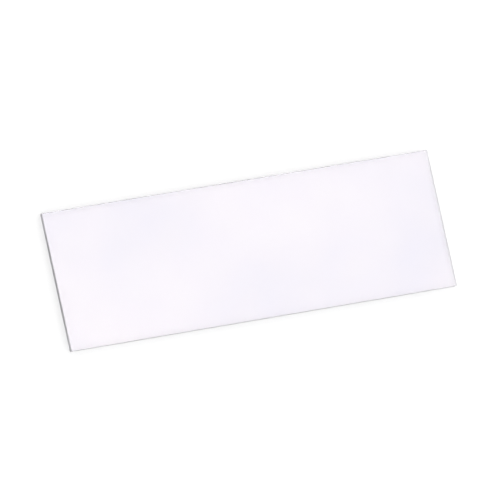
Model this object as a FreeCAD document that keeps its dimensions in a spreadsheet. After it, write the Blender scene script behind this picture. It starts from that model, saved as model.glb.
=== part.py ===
import FreeCAD, Part
import os

import Sketcher

# Clear glass microscope slide, 25.4 x 76.2 mm, with ground edges.
#
# The slide is one plate of glass.  It lies flat, with the middle of its
# underside at the origin, its long side along X and its thickness along Z.

os.makedirs("parts", exist_ok=True)

doc = FreeCAD.newDocument("MicroscopeSlide")


# Dimensions: alias, value in mm, note.

DIMENSIONS = [
    ("slide_length", "76.2", "3 inch side, along X"),
    ("slide_width", "25.4", "1 inch side, along Y"),
    ("slide_thick", "1.1", "middle of the usual 1.0 to 1.2 mm range"),
    ("corner_round", "0.3", "radius that grinding leaves on the four upright corners"),
    ("edge_bevel", "0.12", "ground bevel between each face and the edge"),
]

sheet = doc.addObject("Spreadsheet::Sheet", "Dimensions")
for row, (alias, value, note) in enumerate(DIMENSIONS, start=1):
    sheet.set("A%d" % row, alias)
    sheet.set("B%d" % row, value)
    sheet.set("C%d" % row, note)
    sheet.setAlias("B%d" % row, alias)
doc.recompute()


# Helpers

def origin_plane(body, role):
    """The body's own origin plane with this role, such as XY_Plane."""
    for feature in body.Origin.OriginFeatures:
        if feature.Role == role:
            return feature
    raise RuntimeError("no origin plane " + role)


def centred_rectangle(sketch, length_alias, width_alias):
    """Draw a rectangle centred on the sketch's origin, sized by the sheet."""
    half_length = sheet.get(length_alias) / 2
    half_width = sheet.get(width_alias) / 2
    corners = [
        FreeCAD.Vector(-half_length, -half_width, 0),
        FreeCAD.Vector(half_length, -half_width, 0),
        FreeCAD.Vector(half_length, half_width, 0),
        FreeCAD.Vector(-half_length, half_width, 0),
    ]
    front, right, back, left = [
        sketch.addGeometry(Part.LineSegment(start, end), False)
        for start, end in zip(corners, corners[1:] + corners[:1])
    ]
    first_end, last_end = 1, 2
    sketch_origin = (-1, 1)
    for side, following in ((front, right), (right, back), (back, left), (left, front)):
        sketch.addConstraint(
            Sketcher.Constraint("Coincident", side, last_end, following, first_end))
    for side in (front, back):
        sketch.addConstraint(Sketcher.Constraint("Horizontal", side))
    for side in (right, left):
        sketch.addConstraint(Sketcher.Constraint("Vertical", side))
    sketch.addConstraint(
        Sketcher.Constraint("Symmetric", front, first_end, back, first_end, *sketch_origin))
    length = sketch.addConstraint(
        Sketcher.Constraint("DistanceX", front, first_end, front, last_end, 2 * half_length))
    width = sketch.addConstraint(
        Sketcher.Constraint("DistanceY", right, first_end, right, last_end, 2 * half_width))
    sketch.setExpression("Constraints[%d]" % length, "Dimensions." + length_alias)
    sketch.setExpression("Constraints[%d]" % width, "Dimensions." + width_alias)


def edges_where(shape, wanted):
    """Names of the edges of a shape whose bounding box passes a test."""
    return ["Edge%d" % number for number, edge in enumerate(shape.Edges, start=1)
            if wanted(edge.BoundBox)]


TOUCHING = 1e-6     # mm, less than this counts as no size at all


def is_upright(box):
    """An edge that runs along Z only."""
    return box.ZLength > TOUCHING and max(box.XLength, box.YLength) < TOUCHING


def is_level(box):
    """An edge that lies in one of the two faces: a straight side or a corner arc."""
    return box.ZLength < TOUCHING


# The plate of glass

def make_slide():
    """A rectangle padded to the thickness, its corners rounded, both faces bevelled."""
    body = doc.addObject("PartDesign::Body", "GlassSlide")
    body.Label = "glass_slide"

    outline = body.newObject("Sketcher::SketchObject", "Outline")
    outline.AttachmentSupport = [(origin_plane(body, "XY_Plane"), "")]
    outline.MapMode = "FlatFace"
    centred_rectangle(outline, "slide_length", "slide_width")

    plate = body.newObject("PartDesign::Pad", "Plate")
    plate.Profile = outline
    plate.setExpression("Length", "Dimensions.slide_thick")
    doc.recompute()

    corners = body.newObject("PartDesign::Fillet", "Corners")
    corners.Base = (plate, edges_where(plate.Shape, is_upright))
    corners.setExpression("Radius", "Dimensions.corner_round")
    doc.recompute()

    bevels = body.newObject("PartDesign::Chamfer", "Bevels")
    bevels.Base = (corners, edges_where(corners.Shape, is_level))
    bevels.setExpression("Size", "Dimensions.edge_bevel")
    body.Tip = bevels
    doc.recompute()
    return body


slide = make_slide()


# Test, then write the solid

for item in doc.Objects:
    if "Invalid" in item.State or "Error" in item.State:
        raise RuntimeError("%s failed: %s" % (item.Label, item.State))
if slide.Shape.isNull() or not slide.Shape.isValid() or len(slide.Shape.Solids) != 1:
    raise RuntimeError(slide.Label + " is not one valid solid")

slide.Shape.exportStep("parts/%s.step" % slide.Label)
print("%s: %.1f mm3, %s" % (slide.Label, slide.Shape.Volume, slide.Shape.BoundBox))
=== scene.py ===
import math

import bmesh
import bpy
from mathutils import Matrix, Vector, noise


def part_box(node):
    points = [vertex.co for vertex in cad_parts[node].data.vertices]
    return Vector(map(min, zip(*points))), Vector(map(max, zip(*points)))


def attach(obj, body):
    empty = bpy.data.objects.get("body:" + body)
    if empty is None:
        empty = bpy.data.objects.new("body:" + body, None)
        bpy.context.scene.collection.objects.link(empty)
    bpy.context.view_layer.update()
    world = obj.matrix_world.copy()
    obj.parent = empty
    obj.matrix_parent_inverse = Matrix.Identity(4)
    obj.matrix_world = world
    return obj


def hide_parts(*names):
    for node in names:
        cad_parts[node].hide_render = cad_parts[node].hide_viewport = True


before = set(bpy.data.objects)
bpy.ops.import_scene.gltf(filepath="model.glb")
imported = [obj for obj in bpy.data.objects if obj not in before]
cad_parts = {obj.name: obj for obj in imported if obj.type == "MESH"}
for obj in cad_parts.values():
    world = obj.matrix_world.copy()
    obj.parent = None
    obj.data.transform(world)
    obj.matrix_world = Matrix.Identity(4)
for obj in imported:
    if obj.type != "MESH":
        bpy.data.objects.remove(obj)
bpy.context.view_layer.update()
slideNode = "glass_slide"
slideLow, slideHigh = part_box(slideNode)
slideCentre = (slideLow + slideHigh) / 2
slideSize = slideHigh - slideLow
mm = 0.001
print("frame loaded, slide", [round(side / mm, 2) for side in slideSize], "mm")


# Shader maths: a Wire is one output socket, and maths on Wires adds Math nodes.

class Wire:
    def __init__(self, graph, socket):
        self.graph = graph
        self.socket = socket

    def output(self, name):
        return Wire(self.graph, self.socket.node.outputs[name])

    def math(self, operation, first, second):
        return self.graph.add("ShaderNodeMath", {"operation": operation}, {0: first, 1: second})

    def __add__(self, other):
        return self.math("ADD", self, other)

    def __radd__(self, other):
        return self.math("ADD", other, self)

    def __sub__(self, other):
        return self.math("SUBTRACT", self, other)

    def __rsub__(self, other):
        return self.math("SUBTRACT", other, self)

    def __mul__(self, other):
        return self.math("MULTIPLY", self, other)

    def __rmul__(self, other):
        return self.math("MULTIPLY", other, self)


class Graph:
    def __init__(self, tree):
        self.tree = tree
        tree.nodes.clear()

    def add(self, kind, settings=None, inputs=None, output=0):
        node = self.tree.nodes.new(kind)
        for name, value in (settings or {}).items():
            setattr(node, name, value)
        for key, value in (inputs or {}).items():
            if isinstance(value, Wire):
                self.tree.links.new(value.socket, node.inputs[key])
            else:
                node.inputs[key].default_value = value
        return Wire(self, node.outputs[output]) if node.outputs else node

    def mixColour(self, factor, first, second):
        # a Mix node's colours are its sockets 6 and 7, and its mixed colour is output 2
        return self.add("ShaderNodeMix", {"data_type": "RGBA"}, {0: factor, 6: first, 7: second}, 2)

    def clamp(self, value):
        return self.add("ShaderNodeClamp", {}, {"Value": value})

    def noiseTexture(self, place, scale, detail):
        return self.add("ShaderNodeTexNoise", {}, {"Vector": place, "Scale": scale, "Detail": detail})


def newMaterial(name):
    material = bpy.data.materials.new(name)
    material.use_nodes = True
    return material, Graph(material.node_tree)


def stretch(value, contrast):
    # spreads noise out from the middle of its range
    return (value - 0.5) * contrast + 0.5


# Materials

polished = {
    "tint": (0.99, 0.957, 0.988, 1.0),      # the faint pink of clear glass over white
    "paintedReflection": (0.92, 0.901, 0.96, 1.0),      # painted reflection: a shade deeper and bluer, in broad soft patches
    "paintedReflectionScale": 45.0,
    "paintedReflectionDetail": 2.0,
    "paintedReflectionContrast": 2.0,
    "refraction": 1.52,
    "smearScale": 300.0,
    "smearDetail": 4.0,
    "smearRoughness": 0.02,
    "drawScale": 120.0,                     # slow waves left in the glass when it was drawn
    "drawDetail": 1.0,
    "drawDepth": 0.0015 * mm,
}


def makePolishedGlass():
    material, graph = newMaterial("polishedGlass")
    place = graph.add("ShaderNodeTexCoord", output="Object")
    # broad soft patches of painted reflection, a shade deeper and bluer, mixed into the glass's colour
    paintedReflectionNoise = graph.noiseTexture(place, polished["paintedReflectionScale"], polished["paintedReflectionDetail"])
    paintedReflectionShare = stretch(paintedReflectionNoise, polished["paintedReflectionContrast"])
    smear = graph.noiseTexture(place, polished["smearScale"], polished["smearDetail"])
    waves = graph.noiseTexture(place, polished["drawScale"], polished["drawDetail"])
    bump = graph.add("ShaderNodeBump", {}, {
        "Height": waves, "Distance": polished["drawDepth"], "Strength": 1.0})
    shader = graph.add("ShaderNodeBsdfPrincipled", {}, {
        "Base Color": graph.mixColour(paintedReflectionShare, polished["tint"], polished["paintedReflection"]),
        "Roughness": smear * polished["smearRoughness"],
        "IOR": polished["refraction"],
        "Transmission Weight": 1.0,
        "Normal": bump,
    })
    graph.add("ShaderNodeOutputMaterial", {}, {"Surface": shader})
    return material


ground = {
    "refraction": 1.52,
    "glow": (0.98, 0.98, 1.0, 1.0),          # light from outside scattered on into the glass
    "grainScale": 7000.0,                    # the frost itself
    "grainShare": 0.2,
    "mottleScale": 650.0,                    # patches where the wheel cut deeper
    "mottleShare": 0.35,
    "streakScale": (260.0, 260.0, 6500.0),   # grinding marks run along the edge
    "streakShare": 0.45,
    "detail": 3.0,
    "contrast": 4.5,
    "side": {
        "pale": (1.0, 0.99, 1.0, 1.0),
        "dark": (0.84, 0.83, 0.86, 1.0),
        "through": 0.25,                     # share of the light that passes the ground surface
        "glowLow": 0.45,                     # share scattered evenly, from least to most
        "glowRange": 0.3,
        "roughLow": 0.3,
        "roughRange": 0.4,
        "grindDepth": 0.012 * mm,
    },
    "bevel": {
        "pale": (1.0, 0.99, 1.0, 1.0),
        "dark": (0.96, 0.95, 0.975, 1.0),
        "through": 1.0,
        "glowLow": 0.14,
        "glowRange": 0.06,
        "roughLow": 0.3,
        "roughRange": 0.2,
        "grindDepth": 0.006 * mm,
    },
}


def makeGroundGlass(name, finish):
    material, graph = newMaterial(name)
    place = graph.add("ShaderNodeTexCoord", output="Object")
    alongEdge = graph.add("ShaderNodeVectorMath", {"operation": "MULTIPLY"}, {
        0: place, 1: ground["streakScale"]})
    grain = graph.noiseTexture(place, ground["grainScale"], ground["detail"]) * ground["grainShare"]
    mottle = graph.noiseTexture(place, ground["mottleScale"], ground["detail"]) * ground["mottleShare"]
    streak = graph.noiseTexture(alongEdge, 1.0, ground["detail"]) * ground["streakShare"]
    marks = graph.clamp(stretch(grain + mottle + streak, ground["contrast"]))
    bump = graph.add("ShaderNodeBump", {}, {
        "Height": marks, "Distance": finish["grindDepth"], "Strength": 1.0})
    shader = graph.add("ShaderNodeBsdfPrincipled", {}, {
        "Base Color": graph.mixColour(marks, finish["dark"], finish["pale"]),
        "Roughness": marks * finish["roughRange"] + finish["roughLow"],
        "IOR": ground["refraction"],
        "Transmission Weight": finish["through"],
        "Normal": bump,
    })
    glow = graph.add("ShaderNodeBsdfTranslucent", {}, {"Color": ground["glow"], "Normal": bump})
    frosted = graph.add("ShaderNodeMixShader", {}, {
        0: marks * finish["glowRange"] + finish["glowLow"], 1: shader, 2: glow})
    graph.add("ShaderNodeOutputMaterial", {}, {"Surface": frosted})
    return material


# The plate of glass

plate = {
    "cornerRound": 0.3 * mm,
    "bevel": 0.12 * mm,
    "cell": 1.5 * mm,          # grid of the polished faces
    "stationsPerCell": 5,      # finer points round the edge
    "arcSteps": 8,
    "sideRows": 6,
    "slowWaver": (0.03 * mm, 160.0),   # uneven width of the bevel: amount, and scale per metre
    "fineWaver": (0.012 * mm, 1100.0),
    "sideWaver": (0.004 * mm, 900.0),
    "cornerSpread": 2.0,       # how far the waver moves on through its noise round a corner
    "layerSpread": 7.3,        # and from one ring's layer of it to the next
    "sharpAngle": 24.0,        # degrees between faces from which their edge shows
}
facePart, sidePart, bevelPart = range(3)            # places of the three materials on the mesh
lowerLayer, upperLayer, firstSideLayer = 1, 2, 10   # rings with one layer waver alike


class Station:
    # One place on the way round the plate: a ring's point lies out along normal from anchor.
    def __init__(self, anchor, normal):
        self.anchor = anchor
        self.normal = normal

    def point(self, inset, z):
        flat = self.anchor + self.normal * (plate["cornerRound"] - inset)
        return Vector((flat.x, flat.y, z))

    def waver(self, layer, amountAndScale):
        amount, scale = amountAndScale
        place = self.anchor * scale + self.normal * plate["cornerSpread"]
        return amount * noise.noise(Vector((place.x, place.y, layer * plate["layerSpread"])))


def makeStations(coreHalf, cells):
    corners = [Vector((-coreHalf.x, -coreHalf.y)), Vector((coreHalf.x, -coreHalf.y)),
               Vector((coreHalf.x, coreHalf.y)), Vector((-coreHalf.x, coreHalf.y))]
    normals = [Vector((0, -1)), Vector((1, 0)), Vector((0, 1)), Vector((-1, 0))]
    stations, sideStarts = [], []
    for side in range(4):
        start, end = corners[side], corners[(side + 1) % 4]
        steps = cells[side % 2] * plate["stationsPerCell"]
        sideStarts.append(len(stations))
        for step in range(steps + 1):
            stations.append(Station(start.lerp(end, step / steps), normals[side]))
        for step in range(1, plate["arcSteps"]):
            angle = step / plate["arcSteps"] * math.pi / 2
            normal = normals[side] * math.cos(angle) + normals[(side + 1) % 4] * math.sin(angle)
            stations.append(Station(end, normal))
    return stations, sideStarts


def fillFace(mesh, ring, coreHalf, cells, sideStarts, z, upward):
    # a grid of squares, joined to the finer ring by one face for each cell and a fan at each corner
    grid = [[mesh.verts.new((-coreHalf.x + 2 * coreHalf.x * i / cells[0],
                             -coreHalf.y + 2 * coreHalf.y * j / cells[1], z))
             for j in range(cells[1] + 1)] for i in range(cells[0] + 1)]
    loops = []
    for i in range(cells[0]):
        for j in range(cells[1]):
            loops.append([grid[i][j], grid[i + 1][j], grid[i + 1][j + 1], grid[i][j + 1]])
    coreSides = [
        [grid[i][0] for i in range(cells[0] + 1)],
        [grid[cells[0]][j] for j in range(cells[1] + 1)],
        [grid[i][cells[1]] for i in range(cells[0], -1, -1)],
        [grid[0][j] for j in range(cells[1], -1, -1)],
    ]
    fine = plate["stationsPerCell"]
    for core, first in zip(coreSides, sideStarts):
        for cell in range(len(core) - 1):
            outer = ring[first + cell * fine:first + (cell + 1) * fine + 1]
            loops.append(outer + [core[cell + 1], core[cell]])
        arcStart = first + (len(core) - 1) * fine
        arc = [ring[(arcStart + step) % len(ring)] for step in range(plate["arcSteps"] + 1)]
        loops.append(arc + [core[-1]])
    for loop in loops:
        mesh.faces.new(loop if upward else loop[::-1]).material_index = facePart


def makeSlide():
    coreHalf = Vector((slideSize.x / 2 - plate["cornerRound"], slideSize.y / 2 - plate["cornerRound"]))
    cells = [round(2 * coreHalf.x / plate["cell"]), round(2 * coreHalf.y / plate["cell"])]
    stations, sideStarts = makeStations(coreHalf, cells)
    bevel, top = plate["bevel"], slideSize.z
    mesh = bmesh.new()
    rings, partsAbove = [], []

    def addRing(insetAt, z, partAbove):
        rings.append([mesh.verts.new(station.point(insetAt(station), z)) for station in stations])
        partsAbove.append(partAbove)

    def bevelInset(layer, share):
        return lambda station: share * (
            bevel + station.waver(layer, plate["slowWaver"]) + station.waver(layer, plate["fineWaver"]))

    def sideInset(layer):
        # set in by as much as it wavers, so that the side keeps inside the plate's true size
        return lambda station: plate["sideWaver"][0] + station.waver(layer, plate["sideWaver"])

    addRing(bevelInset(lowerLayer, 1.0), 0.0, bevelPart)
    addRing(bevelInset(lowerLayer, 0.5), bevel / 2, bevelPart)
    for row in range(plate["sideRows"]):
        z = bevel + (top - 2 * bevel) * row / plate["sideRows"]
        addRing(sideInset(firstSideLayer + row), z, sidePart)
    addRing(sideInset(firstSideLayer + plate["sideRows"]), top - bevel, bevelPart)
    addRing(bevelInset(upperLayer, 0.5), top - bevel / 2, bevelPart)
    addRing(bevelInset(upperLayer, 1.0), top, facePart)

    count = len(stations)
    for lower, upper, part in zip(rings, rings[1:], partsAbove):
        for index in range(count):
            following = (index + 1) % count
            face = mesh.faces.new([lower[index], lower[following], upper[following], upper[index]])
            face.material_index = part
    fillFace(mesh, rings[0], coreHalf, cells, sideStarts, 0.0, False)
    fillFace(mesh, rings[-1], coreHalf, cells, sideStarts, top, True)

    data = bpy.data.meshes.new("slideGlass")
    mesh.to_mesh(data)
    mesh.free()
    for polygon in data.polygons:
        polygon.use_smooth = True
    data.set_sharp_from_angle(angle=math.radians(plate["sharpAngle"]))
    piece = bpy.data.objects.new("slide_glass", data)
    bpy.context.collection.objects.link(piece)
    data.materials.append(makePolishedGlass())
    data.materials.append(makeGroundGlass("groundSide", ground["side"]))
    data.materials.append(makeGroundGlass("groundBevel", ground["bevel"]))
    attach(piece, "root")
    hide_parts(slideNode)
    print("slide made,", len(data.polygons), "faces")


makeSlide()


# Floor, light tent and camera

studio = {
    "white": (1.0, 1.0, 1.0, 1.0),
    "floorHalf": 4.0,
    "floorDrop": 0.03 * mm,            # the floor stays just clear of the polished underside
    "floorColour": (0.5, 0.5, 0.5, 1.0),
    "floorLift": 0.59,                 # brings the lit floor up to white where it is seen
    "tentFoot": 2.72,                  # the white tent is brightest low down, all round the plate
    "tentTop": 0.65,
    "cardSide": (-0.96, 0.0, 0.28),    # a dark card on the left draws the left end
    "cardBorder": (0.25, 0.8),         # cosines where its soft border starts and ends
    "cardShare": 0.18,
}


def seenDirectly(graph):
    # 1 for what is seen straight, mirrored or through glass, 0 for what only lights a surface
    byCamera = graph.add("ShaderNodeLightPath", output="Is Camera Ray")
    byGlass = byCamera.output("Is Glossy Ray") + byCamera.output("Is Transmission Ray")
    scattered = graph.clamp(byCamera.output("Diffuse Depth"))
    return graph.clamp(byCamera + byGlass * (1.0 - scattered))


def makeFloor():
    half, z = studio["floorHalf"], slideLow.z - studio["floorDrop"]
    data = bpy.data.meshes.new("floor")
    data.from_pydata([(-half, -half, z), (half, -half, z), (half, half, z), (-half, half, z)],
                     [], [(0, 1, 2, 3)])
    floor = bpy.data.objects.new("floor", data)
    bpy.context.collection.objects.link(floor)
    material, graph = newMaterial("whiteFloor")
    lit = graph.add("ShaderNodeBsdfDiffuse", {}, {"Color": studio["floorColour"]})
    lift = graph.add("ShaderNodeEmission", {}, {
        "Color": studio["white"], "Strength": seenDirectly(graph) * studio["floorLift"]})
    both = graph.add("ShaderNodeAddShader", {}, {0: lit, 1: lift})
    graph.add("ShaderNodeOutputMaterial", {}, {"Surface": both})
    data.materials.append(material)


def makeWorld():
    world = bpy.data.worlds.new("studio")
    world.use_nodes = True
    bpy.context.scene.world = world
    graph = Graph(world.node_tree)
    towards = graph.add("ShaderNodeTexCoord", output="Generated")
    facing = graph.add("ShaderNodeVectorMath", {"operation": "DOT_PRODUCT"}, {
        0: towards, 1: studio["cardSide"]}, "Value")
    borderStart, borderEnd = studio["cardBorder"]
    uncovered = graph.add("ShaderNodeMapRange", {"interpolation_type": "SMOOTHSTEP"}, {
        "Value": facing, "From Min": borderStart, "From Max": borderEnd,
        "To Min": 1.0, "To Max": studio["cardShare"]})
    height = graph.add("ShaderNodeSeparateXYZ", {}, {"Vector": towards}, "Z")
    tent = graph.add("ShaderNodeMapRange", {}, {
        "Value": height, "To Min": studio["tentFoot"], "To Max": studio["tentTop"]})
    light = graph.add("ShaderNodeBackground", {}, {
        "Color": studio["white"], "Strength": tent * uncovered})
    backdrop = graph.add("ShaderNodeBackground", {}, {"Color": studio["white"], "Strength": 1.0})
    shown = graph.add("ShaderNodeMixShader", {}, {0: seenDirectly(graph), 1: light, 2: backdrop})
    graph.add("ShaderNodeOutputWorld", {}, {"Surface": shown})


def direction(azimuth, elevation):
    turn, rise = math.radians(azimuth), math.radians(elevation)
    return Vector((math.sin(turn) * math.cos(rise), -math.cos(turn) * math.cos(rise), math.sin(rise)))


camera = {
    "azimuth": -73.3,
    "elevation": 66.0,
    "roll": 62.3,
    "distance": 1.92,
    "lens": 770.0,
    "sensor": 36.0,
}


def makeCamera():
    data = bpy.data.cameras.new("camera")
    data.sensor_width = camera["sensor"]
    data.lens = camera["lens"]
    holder = bpy.data.objects.new("camera", data)
    bpy.context.collection.objects.link(holder)
    back = direction(camera["azimuth"], camera["elevation"])
    level = (-back).to_track_quat("-Z", "Y").to_matrix()
    roll = Matrix.Rotation(math.radians(camera["roll"]), 3, "Z")
    holder.rotation_euler = (level @ roll).to_euler()
    holder.location = slideCentre + back * camera["distance"]
    bpy.context.scene.camera = holder


makeFloor()
makeWorld()
makeCamera()
bpy.context.scene.view_settings.view_transform = "Standard"
bpy.context.scene.cycles.blur_glossy = 0.0  # keeps the light that passes the plate on its way to the floor
print("floor, light tent and camera ready")
